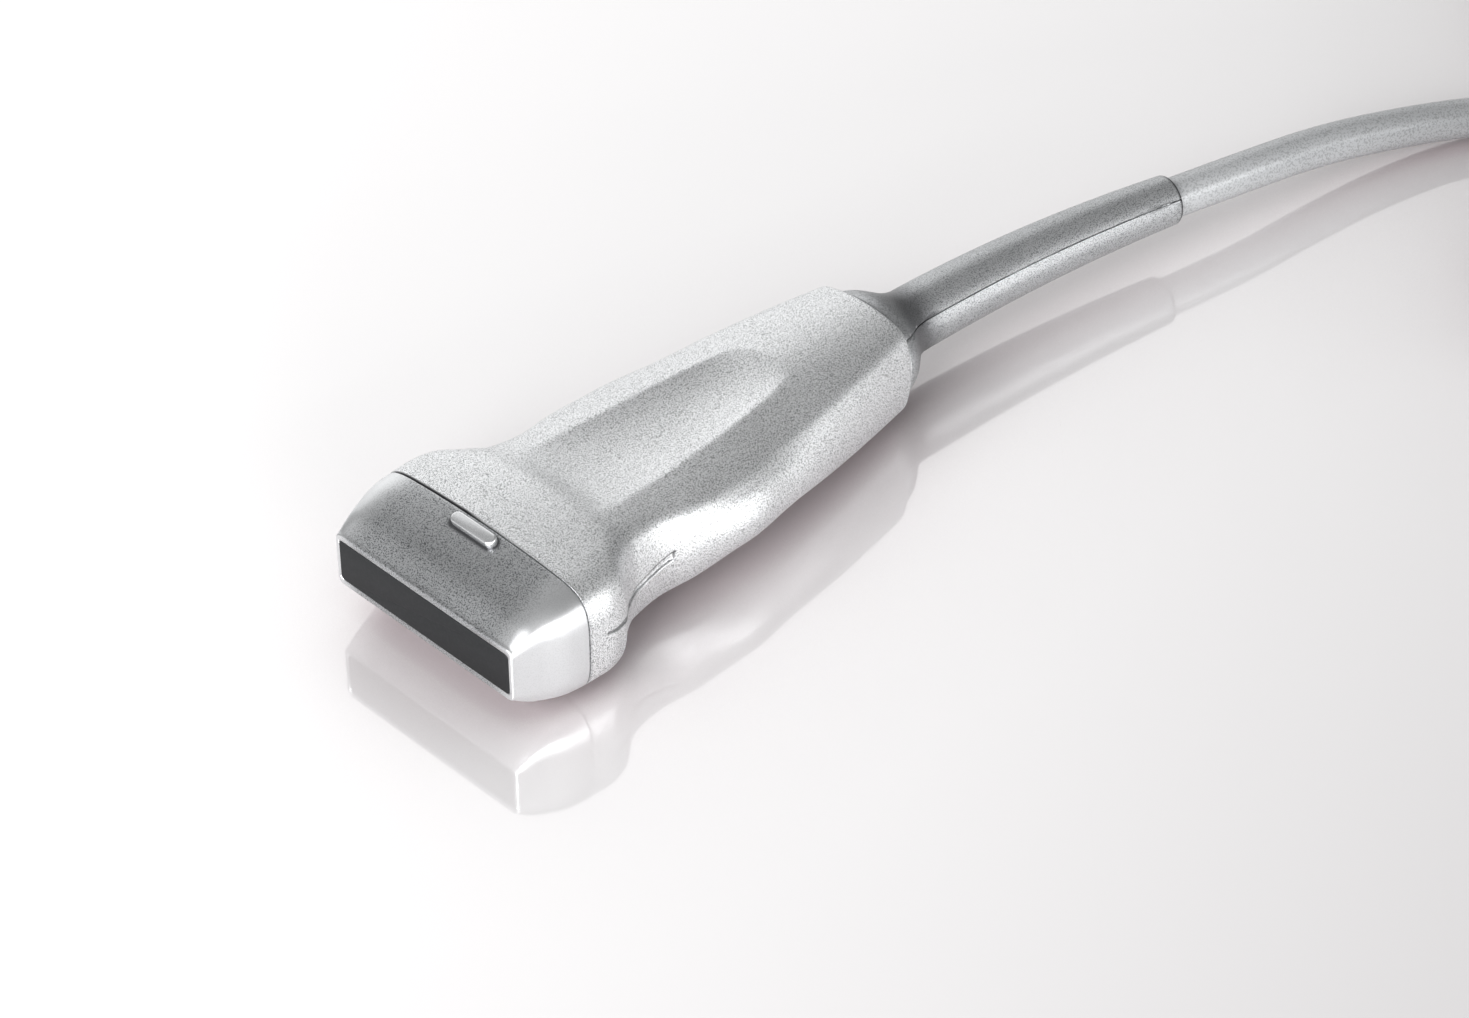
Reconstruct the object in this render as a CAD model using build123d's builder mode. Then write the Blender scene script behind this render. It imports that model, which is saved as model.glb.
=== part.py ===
from build123d import *
from math import atan2, cos, pi, radians, sin, sqrt, tan
import os

# Linear-array ultrasound transducer probe, with its cable and system connector, in millimetres.
# X runs from the lens face back along the probe, Y across it and Z up. The origin is the
# centre of the lens face. The probe lies on its belly, and everything else lies on that surface.

os.makedirs("parts", exist_ok=True)

# Lens and acoustic stack
element_count = 128
element_pitch = 0.3
kerf = 0.04
element_thickness = 0.35
elevation = 6.0
matching_thickness = 0.2
lens_margin = 1.2
lens_height = 8.2
lens_thickness = 1.2
lens_corner = 0.8
lens_gap = 0.03
backing_depth = 9.0
backing_margin = 0.6
aperture = element_count * element_pitch
lens_length = aperture + 2 * lens_margin

# Nose
rim_side = 0.85
rim_top = 1.0
nose_length = 13.8
spigot_length = 4.5
spigot_wall = 1.5
marker_length = 10.0
marker_width = 2.3
marker_height = 0.8
marker_setback = 2.1
seal_width = 1.4
seal_depth = 0.7
nose_flare = 3.5
seam_half_width = lens_length / 2 + rim_side + nose_flare
seam_half_height = 11.55
seam_corner = 8.0
seam_squareness = 3.9
seam_gap = 0.2
seam_gap_depth = 0.3
frame_play = 0.3

# Handle
handle_length = 87.7
handle_wall = 2.0
head_swell = 0.15
head_half_width = seam_half_width + head_swell
head_half_height = 12.04
head_crown = 0.11
waist_half_width = 18.4
grip_half_width = 21.0
grip_half_height = 10.9
tail_half_width = 11.7
tail_half_height = 10.1
tail_corner = 5.6
tail_squareness = 2.8
recess_depth = 2.2
recess_front_half_width = 12.3
recess_rear_half_width = 7.2
mark_depth = 0.35
mark_width = 1.3
section_step = 0.045
handle_end = nose_length + handle_length

# Strain relief
relief_length = 72.3
relief_collar = 10.5
relief_bend = 11.5
relief_droop = 9.0
relief_root_radius = 6.0
relief_tip_radius = 4.7
relief_step = 0.35
relief_edge = 0.6
slit_angle = 32.0
slit_width = 0.25
slit_depth = 0.4
slit_reach = 2.0
neck_half_width = 7.6
neck_half_height = 6.8
neck_lip = 1.0
end_wall = 2.5

# Cable
cable_radius = 3.75
coil_inner_turn = 30.0
coil_columns = 4
coil_layers = 2
coil_centre = (318.0, -44.0)
lead_run = 16.5
tail_rise = 0.3
fit_gap = 0.1
slide_gap = 0.05

# Chassis and electronics in the handle
spreader_thickness = 1.5
spreader_tail_half_width = 9.5
spreader_clearance = 13.0
notch_length = 19.5
spreader_end = handle_end - spreader_clearance
notch_start = spreader_end - notch_length
board_thickness = 1.0
board_length = 36.0
board_start = 22.5
board_edge = 0.9
flex_thickness = 0.15
socket_height = 1.5
socket_depth = 4.0
coax_setback = 8.0
coax_half_width = 9.0
screw_radius = 1.0
screw_head_radius = 1.9
screw_head_height = 1.1
screw_inset = 2.4
shield_thickness = 0.3
shield_height = 2.6
clamp_length = 9.0
clamp_height = 5.6
ferrule_length = 5.0
ferrule_wall = 0.9

# System connector
plug_length = 44.0
plug_width = 32.0
plug_wall = 2.0
plug_corner = 3.0
plug_edge = 1.5
plug_relief_length = 20.0
plug_relief_root = 6.6
plug_relief_tip = 4.7
plug_neck_radius = 5.6
plug_lip_radius = 6.9
plug_lip = 1.4
block_width = 18.0
block_height = 9.0
block_reach = 7.0
block_flange = 2.0
block_flange_height = 13.0
contact_count = 9
contact_pitch = 1.8
contact_width = 1.1
contact_length = 5.0
contact_rise = 0.2
pin_radius = 1.5
pin_reach = 6.0
pin_head_radius = 1.8
pin_head_length = 1.6
pin_y = 11.2
plug_board_thickness = 1.6
plug_board_half_width = 13.0
boss_radius = 3.0
boss_x = 11.5
boss_y = 10.7
plug_screw_radius = 1.25
plug_screw_head = 2.2
plug_screw_head_height = 1.6
plug_screw_sink = 2.4
plug_screw_grip = 5.0
plug_fan_half_width = 6.0

floor_z = -head_half_height - head_crown
floor_cable_z = floor_z + cable_radius


def save(solid, name):
    """Name one finished piece and write its file."""
    solid.label = name
    export_step(solid, f"parts/{name}.step")


def housing_section(x, half_width, half_height, corner, squareness, inset=0.0):
    """Cross-section of the housing at x: crowned top and bottom, bulged sides and soft corners."""
    w = half_width - inset
    t = half_height - inset
    c = max(corner - inset, 0.6)
    top_y = w - c
    side_z = t - c
    top_z = t * (1 - (top_y / w) ** squareness) ** (1 / squareness)
    side_y = w * (1 - (side_z / t) ** squareness) ** (1 / squareness)
    top_turn = 2 * atan2(t - top_z, top_y)
    side_turn = 2 * atan2(w - side_y, side_z)
    with BuildSketch(Plane.YZ.offset(x)) as section:
        with BuildLine():
            for sy, sz in ((1, 1), (-1, 1), (-1, -1), (1, -1)):
                leaving = (sy * cos(top_turn), -sz * sin(top_turn))
                arriving = (sy * sin(side_turn), -sz * cos(side_turn))
                Spline((sy * top_y, sz * top_z), (sy * side_y, sz * side_z), tangents=(leaving, arriving))
            ThreePointArc((top_y, top_z), (0, t), (-top_y, top_z))
            ThreePointArc((-side_y, side_z), (-w, 0), (-side_y, -side_z))
            ThreePointArc((-top_y, -top_z), (0, -t), (top_y, -top_z))
            ThreePointArc((side_y, -side_z), (w, 0), (side_y, side_z))
        make_face()
    return section.sketch


def between(a, b, share):
    return a + (b - a) * share


def slope(rows, i, column):
    """Slope of a table's column at row i: none where the column turns."""
    steps = [(rows[j + 1][column] - rows[j][column]) / (rows[j + 1][0] - rows[j][0])
             for j in (max(i - 1, 0), min(i, len(rows) - 2))]
    before, after = steps
    return 2 * before * after / (before + after) if before * after > 0 else 0.0


def row_at(rows, share):
    """A table's row at any share of the length, on smooth curves through the given rows."""
    i = max(j for j in range(len(rows) - 1) if rows[j][0] <= share or j == 0)
    span = rows[i + 1][0] - rows[i][0]
    u = min((share - rows[i][0]) / span, 1.0)
    row = [share]
    for column in range(1, len(rows[i])):
        a = rows[i][column]
        b = rows[i + 1][column]
        leaving = slope(rows, i, column) * span
        arriving = slope(rows, i + 1, column) * span
        row.append((2 * u ** 3 - 3 * u ** 2 + 1) * a + (u ** 3 - 2 * u ** 2 + u) * leaving
                   + (3 * u ** 2 - 2 * u ** 3) * b + (u ** 3 - u ** 2) * arriving)
    return row


def even_rows(rows, first, last, step):
    """Rows at even steps from one share of the length to another."""
    count = round((last - first) / step)
    return [row_at(rows, between(first, last, i / count)) for i in range(count + 1)]


# Outer form of the nose: a flat rectangular mouth that swells to the seam with the handle.
nose_front_half_width = lens_length / 2 + rim_side
nose_front_half_height = lens_height / 2 + rim_top
nose_stations = [
    (0.00, nose_front_half_width, nose_front_half_height, 1.5, 40),
    (0.36, between(nose_front_half_width, seam_half_width, 0.38),
     between(nose_front_half_height, seam_half_height, 0.54), 4.0, 9),
    (0.72, between(nose_front_half_width, seam_half_width, 0.84),
     between(nose_front_half_height, seam_half_height, 0.83), 6.5, 5.5),
    (1.00, seam_half_width, seam_half_height, seam_corner, seam_squareness),
]

# Outer form of the handle: full head, pinched waist, palm swell and oval tail.
handle_stations = [
    (0.000, seam_half_width, seam_half_height, seam_corner, seam_squareness),
    (0.050, head_half_width, between(seam_half_height, head_half_height, 0.50), 8.0, 3.6),
    (0.095, between(head_half_width, waist_half_width, 0.15), head_half_height, 7.8, 3.4),
    (0.138, between(head_half_width, waist_half_width, 0.62), head_half_height - 0.05, 7.5, 3.2),
    (0.185, between(head_half_width, waist_half_width, 0.93),
     between(head_half_height, grip_half_height, 0.60), 7.0, 3.0),
    (0.250, waist_half_width, between(head_half_height, grip_half_height, 0.95), 6.6, 2.8),
    (0.345, between(waist_half_width, grip_half_width, 0.58), grip_half_height - 0.1, 6.3, 2.5),
    (0.460, grip_half_width, grip_half_height, 6.0, 2.15),
    (0.595, between(grip_half_width, tail_half_width, 0.19), grip_half_height, 6.0, 2.15),
    (0.730, between(grip_half_width, tail_half_width, 0.43),
     between(grip_half_height, tail_half_height, 0.15), 6.0, 2.35),
    (0.870, between(grip_half_width, tail_half_width, 0.72),
     between(grip_half_height, tail_half_height, 0.55), 6.0, 2.6),
    (1.000, tail_half_width, tail_half_height, tail_corner, tail_squareness),
]


def handle_sections(inset, first=0.0, last=1.0):
    """Sections of the handle's outer form, drawn in by inset, from one share of its length to another."""
    return [housing_section(nose_length + share * handle_length, w, t, c, n, inset)
            for share, w, t, c, n in even_rows(handle_stations, first, last, section_step)]


def seam_section(x, inset):
    return housing_section(x, seam_half_width, seam_half_height, seam_corner, seam_squareness, inset)


def recess_tool(extra):
    """The scoop that leaves the thumb recess, with its floor and flanks moved out by extra."""
    rim = grip_half_height - 0.9
    floor = grip_half_height - recess_depth
    rows = [
        (0.115, head_half_height + 0.8, 1.02, head_half_height),
        (0.162, head_half_height - 0.55, 1.00, rim + 0.9),
        (0.208, between(floor, head_half_height, 0.45), 0.92, rim + 0.35),
        (0.276, between(floor, head_half_height, 0.16), 0.80, rim + 0.1),
        (0.367, floor + 0.1, 0.70, rim),
        (0.481, floor, 0.46, rim),
        (0.595, floor + 0.2, 0.25, rim + 0.1),
        (0.664, floor + 0.8, 0.12, rim + 0.2),
        (0.721, floor + 1.7, 0.00, rim + 0.4),
        (0.766, grip_half_height + 0.6, -0.08, grip_half_height + 0.9),
    ]
    faces = []
    for share, centre_z, spread, edge_z in even_rows(rows, rows[0][0], rows[-1][0], section_step):
        ridge_y = between(recess_rear_half_width, recess_front_half_width, spread) + extra / 2
        reach = 1.18
        far_y = ridge_y * reach
        far_z = centre_z - extra + (edge_z - centre_z) * reach ** 2
        lid_z = head_half_height + 4
        with BuildSketch(Plane.YZ.offset(nose_length + share * handle_length)) as section:
            with BuildLine():
                Bezier((-far_y, far_z), (0, 2 * (centre_z - extra) - far_z), (far_y, far_z))
                Polyline((far_y, far_z), (far_y, lid_z), (-far_y, lid_z), (-far_y, far_z))
            make_face()
        faces.append(section.sketch)
    return faces


# Acoustic lens: a silicone slab bonded in the nose's window, flush with its rim
with BuildPart() as acoustic_lens:
    with BuildSketch(Plane.YZ):
        RectangleRounded(lens_length - 2 * lens_gap, lens_height - 2 * lens_gap, lens_corner)
    extrude(amount=lens_thickness)
save(acoustic_lens.part, "acoustic_lens")

# Matching layers: two filled-epoxy plates between the lens and the elements
outer_layer_x = lens_thickness
inner_layer_x = outer_layer_x + matching_thickness
with BuildPart() as matching_layer_outer:
    with BuildSketch(Plane.YZ.offset(outer_layer_x)):
        Rectangle(aperture, elevation)
    extrude(amount=matching_thickness)
save(matching_layer_outer.part, "matching_layer_outer")

with BuildPart() as matching_layer_inner:
    with BuildSketch(Plane.YZ.offset(inner_layer_x)):
        Rectangle(aperture, elevation)
    extrude(amount=matching_thickness)
save(matching_layer_inner.part, "matching_layer_inner")

# Piezo elements: one ceramic bar diced into separate elements by saw kerfs
element_x = inner_layer_x + matching_thickness
with BuildPart() as piezo_elements:
    with BuildSketch(Plane.YZ.offset(element_x)):
        with GridLocations(element_pitch, 0, element_count, 1):
            Rectangle(element_pitch - kerf, elevation)
    extrude(amount=element_thickness)
save(piezo_elements.part, "piezo_elements")

# Backing block: a loaded-epoxy block that carries the stack and soaks up the rear wave
backing_x = element_x + element_thickness
backing_half_length = aperture / 2 + backing_margin
backing_end = backing_x + backing_depth
with BuildPart() as backing_block:
    with BuildSketch(Plane.YZ.offset(backing_x)):
        Rectangle(2 * backing_half_length, elevation)
    extrude(amount=backing_depth)
save(backing_block.part, "backing_block")

# Nose piece: a moulded shell with the lens window in front and a spigot that enters the handle
spigot_end = nose_length + spigot_length
spigot_inset = handle_wall + fit_gap
cavity_inset = spigot_inset + spigot_wall
seal_x = nose_length + (spigot_length - seal_width) / 2
marker_x = nose_length - marker_setback
marker_slope = 19.0
marker_z = between(nose_front_half_height, seam_half_height, 0.89)
with BuildPart() as seal_groove:
    extrude(seam_section(seal_x, handle_wall), amount=seal_width, dir=(1, 0, 0))
    extrude(seam_section(seal_x, spigot_inset + seal_depth), amount=seal_width, dir=(1, 0, 0),
            mode=Mode.SUBTRACT)
with BuildPart() as seam_groove:
    extrude(seam_section(nose_length, -1.0), amount=-seam_gap, dir=(1, 0, 0))
    extrude(seam_section(nose_length, seam_gap_depth), amount=-seam_gap, dir=(1, 0, 0), mode=Mode.SUBTRACT)
with BuildPart() as nose_piece:
    loft([housing_section(share * nose_length, w, t, c, n) for share, w, t, c, n in nose_stations])
    with BuildSketch(Plane(origin=(marker_x, 0, marker_z), x_dir=(0, 1, 0),
                           z_dir=(-sin(radians(marker_slope)), 0, cos(radians(marker_slope))))):
        SlotOverall(marker_length, marker_width)
    extrude(amount=marker_height, both=True)
    loft([seam_section(nose_length - 2, spigot_inset), seam_section(spigot_end, spigot_inset)])
    with BuildSketch(Plane.YZ.offset(-1)):
        RectangleRounded(lens_length, lens_height, lens_corner)
    extrude(amount=1 + lens_thickness, mode=Mode.SUBTRACT)
    loft([
        housing_section(lens_thickness, lens_length / 2, lens_height / 2, lens_corner, 40),
        housing_section(0.36 * nose_length, lens_length / 2 + 0.5, seam_half_height - cavity_inset - 1.1,
                        2.0, 20),
        seam_section(nose_length, cavity_inset),
    ], mode=Mode.SUBTRACT)
    loft([seam_section(nose_length, cavity_inset), seam_section(spigot_end + 1, cavity_inset)],
         mode=Mode.SUBTRACT)
    add(seal_groove.part, mode=Mode.SUBTRACT)
    add(seam_groove.part, mode=Mode.SUBTRACT)
save(nose_piece.part, "nose_piece")

# Nose seal: a rubber ring in the spigot's groove that keeps gel and water out of the handle
with BuildPart() as nose_seal:
    extrude(seam_section(seal_x + slide_gap, handle_wall + slide_gap / 2),
            amount=seal_width - 2 * slide_gap, dir=(1, 0, 0))
    extrude(seam_section(seal_x + slide_gap, spigot_inset + seal_depth - slide_gap),
            amount=seal_width - 2 * slide_gap, dir=(1, 0, 0), mode=Mode.SUBTRACT)
save(nose_seal.part, "nose_seal")

# Array frame: a moulded ring that holds the backing block in the middle of the nose
frame_x = backing_x + 3.0
frame_length = backing_end - frame_x - 1.0
frame_half_width = lens_length / 2 + frame_play
frame_half_height = seam_half_height - cavity_inset - 1.3
with BuildPart() as array_frame:
    with BuildSketch(Plane.YZ.offset(frame_x)):
        RectangleRounded(2 * frame_half_width, 2 * frame_half_height, 1.5)
        Rectangle(2 * (backing_half_length + slide_gap), elevation + 2 * (flex_thickness + slide_gap),
                  mode=Mode.SUBTRACT)
    extrude(amount=frame_length)
save(array_frame.part, "array_frame")

# Heat spreader: the aluminium spine behind the backing block, with a notch for the cable's end
spreader_half_width = waist_half_width - handle_wall - 0.3
spreader_z = spreader_thickness / 2
tail_start = nose_length + 0.62 * handle_length
screw_x = (board_start + screw_inset, board_start + board_length - screw_inset)
screw_y = spreader_half_width - board_edge - screw_inset
clamp_start = spreader_end - clamp_length - 1.0
clamp_x = clamp_start + clamp_length / 2
clamp_screw_y = cable_radius + 3.2
with BuildPart() as heat_spreader:
    with BuildSketch(Plane.XY.offset(-spreader_z)):
        with BuildLine():
            Polyline((backing_end, spreader_half_width), (backing_end, -spreader_half_width),
                     (tail_start, -spreader_half_width), (spreader_end, -spreader_tail_half_width),
                     (spreader_end, spreader_tail_half_width), (tail_start, spreader_half_width), close=True)
        make_face()
        with Locations(((notch_start + spreader_end + 4) / 2, 0)):
            SlotOverall(spreader_end - notch_start + 4, 2 * (cable_radius + fit_gap), mode=Mode.SUBTRACT)
        with Locations([(x, sy * screw_y) for x in screw_x for sy in (-1, 1)]):
            Circle(screw_radius + fit_gap, mode=Mode.SUBTRACT)
        with Locations((clamp_x, clamp_screw_y), (clamp_x, -clamp_screw_y)):
            Circle(screw_radius + fit_gap, mode=Mode.SUBTRACT)
    extrude(amount=spreader_thickness)
save(heat_spreader.part, "heat_spreader")

# Flex circuits: two films that run from the elements over the backing block to the boards
board_top = elevation / 2 - flex_thickness
board_base = board_top - board_thickness
board_half_width = spreader_half_width - board_edge
socket_x = board_start + 2.5
flex_end = socket_x + 2.0
flex_half_width = screw_y - screw_head_radius - 1.3
with BuildPart() as flex_circuit:
    with BuildSketch(Plane.XY.offset(elevation / 2)):
        with BuildLine():
            Polyline((backing_x, aperture / 2), (backing_end, aperture / 2),
                     (socket_x - 3.0, flex_half_width), (flex_end, flex_half_width),
                     (flex_end, -flex_half_width), (socket_x - 3.0, -flex_half_width),
                     (backing_end, -aperture / 2), (backing_x, -aperture / 2), close=True)
        make_face()
    extrude(amount=flex_thickness)

# Interconnect boards: one above and one below the spreader
with BuildPart() as board:
    with BuildSketch(Plane.XY.offset(board_base)):
        with Locations((board_start + board_length / 2, 0)):
            Rectangle(board_length, 2 * board_half_width)
        with Locations([(x, sy * screw_y) for x in screw_x for sy in (-1, 1)]):
            Circle(screw_radius + fit_gap, mode=Mode.SUBTRACT)
    extrude(amount=board_thickness)

# Flex sockets: the board connectors that take the flex circuits
with BuildPart() as flex_socket:
    with BuildSketch(Plane.XY.offset(board_top)):
        with Locations((socket_x + socket_depth / 2, 0)):
            Rectangle(socket_depth, 2 * (flex_half_width + 1.0))
    extrude(amount=socket_height)
    with BuildSketch(Plane.XY.offset(elevation / 2 - slide_gap)):
        with Locations((socket_x + 1.1, 0)):
            Rectangle(2.2, 2 * (flex_half_width + slide_gap))
    extrude(amount=flex_thickness + 2 * slide_gap, mode=Mode.SUBTRACT)

# Coax sockets: where the cable's conductors reach the boards
coax_socket_x = board_start + board_length - coax_setback
with BuildPart() as coax_socket:
    with BuildSketch(Plane.XY.offset(board_top)):
        with Locations((coax_socket_x + 2.0, 0)):
            Rectangle(4.0, 2 * coax_half_width)
    extrude(amount=socket_height)

# Shields: folded tinned lids over the boards, open at the rear for the conductors
shield_start = socket_x + socket_depth + 0.5
shield_half_width = screw_y - screw_head_radius - 0.4
shield_length = board_start + board_length - 1.0 - shield_start
with BuildPart() as shield:
    with BuildSketch(Plane.XY.offset(board_top)):
        with Locations((shield_start + shield_length / 2, 0)):
            Rectangle(shield_length, 2 * shield_half_width)
    extrude(amount=shield_height)
    with BuildSketch(Plane.XY.offset(board_top)):
        with Locations((shield_start + shield_length / 2, 0)):
            Rectangle(shield_length - 2 * shield_thickness, 2 * (shield_half_width - shield_thickness))
    extrude(amount=shield_height - shield_thickness, mode=Mode.SUBTRACT)
    with BuildSketch(Plane.XY.offset(board_top)):
        with Locations((shield_start + shield_length, 0)):
            Rectangle(4 * shield_thickness, 2 * (coax_half_width + 0.5))
    extrude(amount=shield_height - 2 * shield_thickness, mode=Mode.SUBTRACT)

# Conductor fans: the micro-coax bundle spreads from the cable's end to each board
cable_end_x = clamp_start - 4.0
fan_start = coax_socket_x + 4.0
with BuildPart() as coax_fan:
    with BuildSketch(Plane.YZ.offset(fan_start)):
        with Locations((0, board_top + socket_height / 2)):
            RectangleRounded(2 * coax_half_width - 1.0, socket_height - 0.4, 0.4)
    with BuildSketch(Plane.YZ.offset(between(fan_start, cable_end_x, 0.5))):
        with Locations((0, board_top + 0.75)):
            RectangleRounded(coax_half_width + 1.0, socket_height, 0.6)
    with BuildSketch(Plane.YZ.offset(cable_end_x)):
        with Locations((0, cable_radius / 2)):
            RectangleRounded(cable_radius * 1.3, cable_radius * 0.8, 1.0)
    loft()

for side, name in ((1, "upper"), (-1, "lower")):
    for piece, label in ((flex_circuit, "flex_circuit"), (board, "interconnect_board"),
                         (flex_socket, "flex_socket"), (coax_socket, "coax_socket"),
                         (shield, "board_shield"), (coax_fan, "conductor_fan")):
        with BuildPart() as placed:
            add(piece.part if side > 0 else piece.part.mirror(Plane.XY))
        save(placed.part, f"{label}_{name}")

# Board spacers: eight short tubes that hold the boards off the spreader
with BuildPart() as board_spacers:
    with BuildSketch(Plane.XY.offset(spreader_z)):
        with Locations([(x, sy * screw_y) for x in screw_x for sy in (-1, 1)]):
            Circle(screw_radius + 1.0)
            Circle(screw_radius + fit_gap, mode=Mode.SUBTRACT)
    extrude(amount=board_base - spreader_z)
    mirror(about=Plane.XY)
save(board_spacers.part, "board_spacers")

# Board screws: four, through both boards and the spreader
with BuildPart() as board_screws:
    with BuildSketch(Plane.XY.offset(-board_top - screw_head_height)):
        with Locations([(x, sy * screw_y) for x in screw_x for sy in (-1, 1)]):
            Circle(screw_radius)
    extrude(amount=2 * board_top + screw_head_height + screw_head_height)
    with BuildSketch(Plane.XY.offset(board_top)):
        with Locations([(x, sy * screw_y) for x in screw_x for sy in (-1, 1)]):
            Circle(screw_head_radius)
    extrude(amount=screw_head_height)
save(board_screws.part, "board_screws")

# Board nuts: under the lower board
with BuildPart() as board_nuts:
    with BuildSketch(Plane.XY.offset(-board_top - screw_head_height)):
        with Locations([(x, sy * screw_y) for x in screw_x for sy in (-1, 1)]):
            RegularPolygon(screw_head_radius, 6)
            Circle(screw_radius + slide_gap, mode=Mode.SUBTRACT)
    extrude(amount=screw_head_height)
save(board_nuts.part, "board_nuts")

# Cable clamp: two saddles bolted through the spreader's arms onto the jacket
clamp_half_width = clamp_screw_y + 2.2
with BuildPart() as clamp_saddle:
    with BuildSketch(Plane.YZ.offset(clamp_start)):
        with Locations((0, spreader_z)):
            Rectangle(2 * clamp_half_width, clamp_height - spreader_z, align=(Align.CENTER, Align.MIN))
        Circle(cable_radius + fit_gap, mode=Mode.SUBTRACT)
    extrude(amount=clamp_length)
    fillet(clamp_saddle.edges().filter_by(Axis.X).group_by(Axis.Z)[-1], 1.5)
    with BuildSketch(Plane.XY.offset(spreader_z)):
        with Locations((clamp_x, clamp_screw_y), (clamp_x, -clamp_screw_y)):
            Circle(screw_radius + fit_gap)
    extrude(amount=clamp_height, mode=Mode.SUBTRACT)
    with BuildSketch(Plane.XY.offset(clamp_height - screw_head_height)):
        with Locations((clamp_x, clamp_screw_y), (clamp_x, -clamp_screw_y)):
            Circle(screw_head_radius + fit_gap)
    extrude(amount=screw_head_height + 1, mode=Mode.SUBTRACT)
save(clamp_saddle.part, "cable_clamp_upper")
with BuildPart() as clamp_saddle_lower:
    add(clamp_saddle.part.mirror(Plane.XY))
save(clamp_saddle_lower.part, "cable_clamp_lower")

# Clamp screws: two, with their nuts sunk in the lower saddle
clamp_seat = clamp_height - screw_head_height
with BuildPart() as clamp_screws:
    with BuildSketch(Plane.XY.offset(-clamp_height)):
        with Locations((clamp_x, clamp_screw_y), (clamp_x, -clamp_screw_y)):
            Circle(screw_radius)
    extrude(amount=clamp_height + clamp_seat)
    with BuildSketch(Plane.XY.offset(clamp_seat)):
        with Locations((clamp_x, clamp_screw_y), (clamp_x, -clamp_screw_y)):
            Circle(screw_head_radius)
    extrude(amount=screw_head_height)
save(clamp_screws.part, "clamp_screws")

with BuildPart() as clamp_nuts:
    with BuildSketch(Plane.XY.offset(-clamp_height)):
        with Locations((clamp_x, clamp_screw_y), (clamp_x, -clamp_screw_y)):
            RegularPolygon(screw_head_radius, 6)
            Circle(screw_radius + slide_gap, mode=Mode.SUBTRACT)
    extrude(amount=screw_head_height)
save(clamp_nuts.part, "clamp_nuts")

# Handle: one moulded shell with thumb recesses above and below, an index mark on its near side
# and an end wall that the strain relief snaps through
cavity_stop = handle_end - end_wall
socket_end = spigot_end + 0.4
with BuildPart() as handle_cavity:
    loft(handle_sections(handle_wall, last=0.9) + [
        housing_section(cavity_stop, tail_half_width + 0.1, tail_half_height, tail_corner, tail_squareness,
                        handle_wall)])
    loft(recess_tool(handle_wall), mode=Mode.SUBTRACT)
    loft([face.mirror(Plane.XY) for face in recess_tool(handle_wall)], mode=Mode.SUBTRACT)
    extrude(seam_section(nose_length, handle_wall), amount=socket_end - nose_length, dir=(1, 0, 0))

mark_start = nose_length + 0.055 * handle_length
mark_end = nose_length + 0.30 * handle_length
mark_bend = between(mark_start, mark_end, 0.42)
mark_top = mark_width + 0.9
with BuildPart() as index_mark:
    with BuildSketch(Plane.XZ) as mark_outline:
        with BuildLine():
            Spline((mark_start, -1.4), (mark_bend, -0.3), (mark_end, mark_top))
            Line((mark_end, mark_top), (mark_end, mark_top - mark_width))
            Spline((mark_end, mark_top - mark_width), (mark_bend, -0.1 - mark_width), (mark_start, -1.5))
            Line((mark_start, -1.5), (mark_start, -1.4))
        make_face()
    extrude(amount=head_half_width + 2)
    loft(handle_sections(mark_depth, last=0.5), mode=Mode.SUBTRACT)

with BuildPart() as handle:
    loft(handle_sections(0))
    loft(recess_tool(0), mode=Mode.SUBTRACT)
    loft([face.mirror(Plane.XY) for face in recess_tool(0)], mode=Mode.SUBTRACT)
    add(handle_cavity.part, mode=Mode.SUBTRACT)
    with BuildSketch(Plane.YZ.offset(cavity_stop - 1)):
        Ellipse(neck_half_width + fit_gap, neck_half_height + fit_gap)
    extrude(amount=end_wall + 2, mode=Mode.SUBTRACT)
    add(index_mark.part, mode=Mode.SUBTRACT)
save(handle.part, "handle")

# Strain relief: a moulded boot that snaps through the handle's end wall, with a bell against the
# handle's tail and a tapered sleeve that bends gently to the near side. A slit runs along it.
bend_radius = relief_length / radians(relief_bend)
lean_y = -cos(radians(relief_droop))
lean_z = -sin(radians(relief_droop))


def relief_plane(distance):
    """Plane across the strain relief's centre line, distance along it from the handle's tail."""
    turn = distance / bend_radius
    aside = bend_radius * (1 - cos(turn))
    return Plane(origin=(handle_end + bend_radius * sin(turn), aside * lean_y, aside * lean_z),
                 x_dir=(-sin(turn) * lean_y, cos(turn), 0),
                 z_dir=(cos(turn), sin(turn) * lean_y, sin(turn) * lean_z))


def relief_face(distance, half_width, half_height):
    with BuildSketch(relief_plane(distance)) as section:
        Ellipse(half_width, half_height)
    return section.sketch


def slit_face(distance, half_width, half_height):
    """A thin strip across the strain relief's surface, on its upper near side."""
    turn = radians(slit_angle)
    surface = half_width * half_height / sqrt((half_height * cos(turn)) ** 2 + (half_width * sin(turn)) ** 2)
    middle = surface - slit_depth + slit_reach / 2
    with BuildSketch(relief_plane(distance)) as section:
        with Locations(Location((-middle * cos(turn), middle * sin(turn), 0), (0, 0, -slit_angle))):
            Rectangle(slit_reach, slit_width)
    return section.sketch


collar_half_width = tail_half_width - relief_step
collar_half_height = tail_half_height - relief_step
bell_stations = [(share * relief_collar, between(relief_root_radius, collar_half_width, flare),
                  between(relief_root_radius, collar_half_height, flare))
                 for share, flare in ((0, 1.0), (0.24, 0.9), (0.48, 0.56), (0.74, 0.17), (1, 0.0))]
sleeve_stations = []
for share in (0, 0.25, 0.5, 0.75, 1.0):
    sleeve_radius = between(relief_root_radius, relief_tip_radius, share ** 1.3)
    sleeve_stations.append((between(relief_collar, relief_length, share), sleeve_radius, sleeve_radius))
exit_plane = relief_plane(relief_length)

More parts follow.
